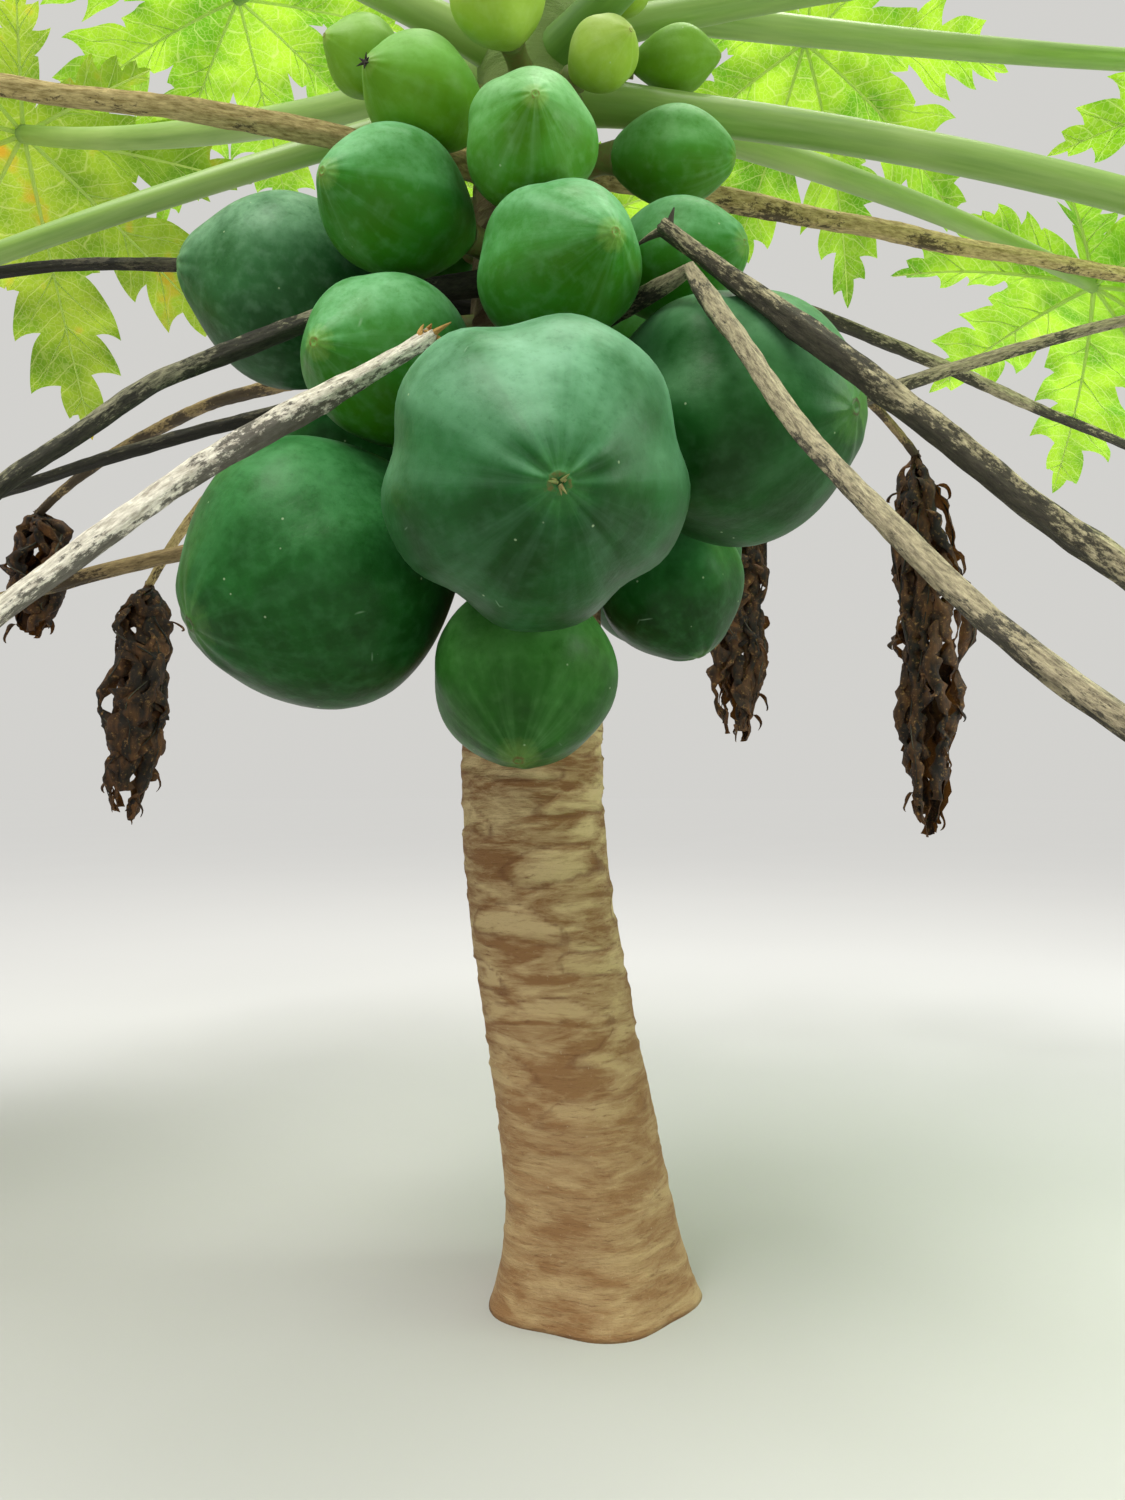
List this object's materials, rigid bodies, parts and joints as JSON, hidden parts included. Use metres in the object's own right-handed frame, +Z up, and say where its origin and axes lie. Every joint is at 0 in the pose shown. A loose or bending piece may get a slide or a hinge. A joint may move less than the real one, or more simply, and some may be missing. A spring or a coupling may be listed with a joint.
{
  "type": "dwarf papaya tree in fruit",
  "caption": "Low papaya tree: a bare leaning trunk with a crowded column of green fruit, a crown of long-stalked lobed leaves, dead stalks and hanging withered leaves.",
  "frame": {"origin": "middle of the flat cut at the foot of the trunk, at ground level", "axes": "+Z up, and -Y towards the viewer in the picture's view, with +X to that viewer's right"},
  "size_m": [1.81, 1.6943, 1.5064],
  "materials": {
    "bark": "dull tan bark with brown leaf scars",
    "fruit": "waxy green skin",
    "leaf": "satin leaf",
    "dead_stalk": "dry grey stalk, mould-blotched",
    "dead_leaf": "dry brown withered leaf"
  },
  "bodies": {
    "root": {"trunk": "bark", "fruit_01": "fruit", "fruit_02": "fruit", "fruit_03": "fruit", "fruit_04": "fruit", "fruit_05": "fruit", "fruit_06": "fruit", "fruit_07": "fruit", "fruit_08": "fruit", "fruit_09": "fruit", "fruit_10": "fruit", "fruit_11": "fruit", "fruit_12": "fruit", "fruit_13": "fruit", "fruit_14": "fruit", "fruit_15": "fruit", "fruit_16": "fruit", "fruit_17": "fruit", "fruit_18": "fruit", "fruit_19": "fruit", "fruit_20": "fruit", "fruit_21": "fruit", "fruit_22": "fruit", "fruit_23": "fruit", "leaf_01": "leaf", "leaf_02": "leaf", "leaf_03": "leaf", "leaf_04": "leaf", "leaf_05": "leaf", "leaf_06": "leaf", "leaf_07": "leaf", "leaf_08": "leaf", "leaf_09": "leaf", "leaf_10": "leaf", "leaf_11": "leaf", "leaf_12": "leaf", "leaf_13": "leaf", "leaf_14": "leaf", "leaf_15": "leaf", "leaf_16": "leaf", "dead_stalk_01": "dead_stalk", "dead_stalk_02": "dead_stalk", "dead_stalk_03": "dead_stalk", "dead_stalk_04": "dead_stalk", "dead_stalk_05": "dead_stalk", "dead_stalk_06": "dead_stalk", "dead_stalk_07": "dead_stalk", "dead_stalk_08": "dead_stalk", "dead_stalk_09": "dead_stalk", "dead_stalk_10": "dead_stalk", "dead_stalk_11": "dead_stalk", "dead_stalk_12": "dead_stalk", "dead_stalk_13": "dead_stalk", "dead_stalk_14": "dead_stalk", "dead_stalk_15": "dead_stalk", "dead_leaf_01": "dead_leaf", "dead_leaf_02": "dead_leaf", "dead_leaf_03": "dead_leaf", "dead_leaf_04": "dead_leaf"}
  },
  "joints": []
}
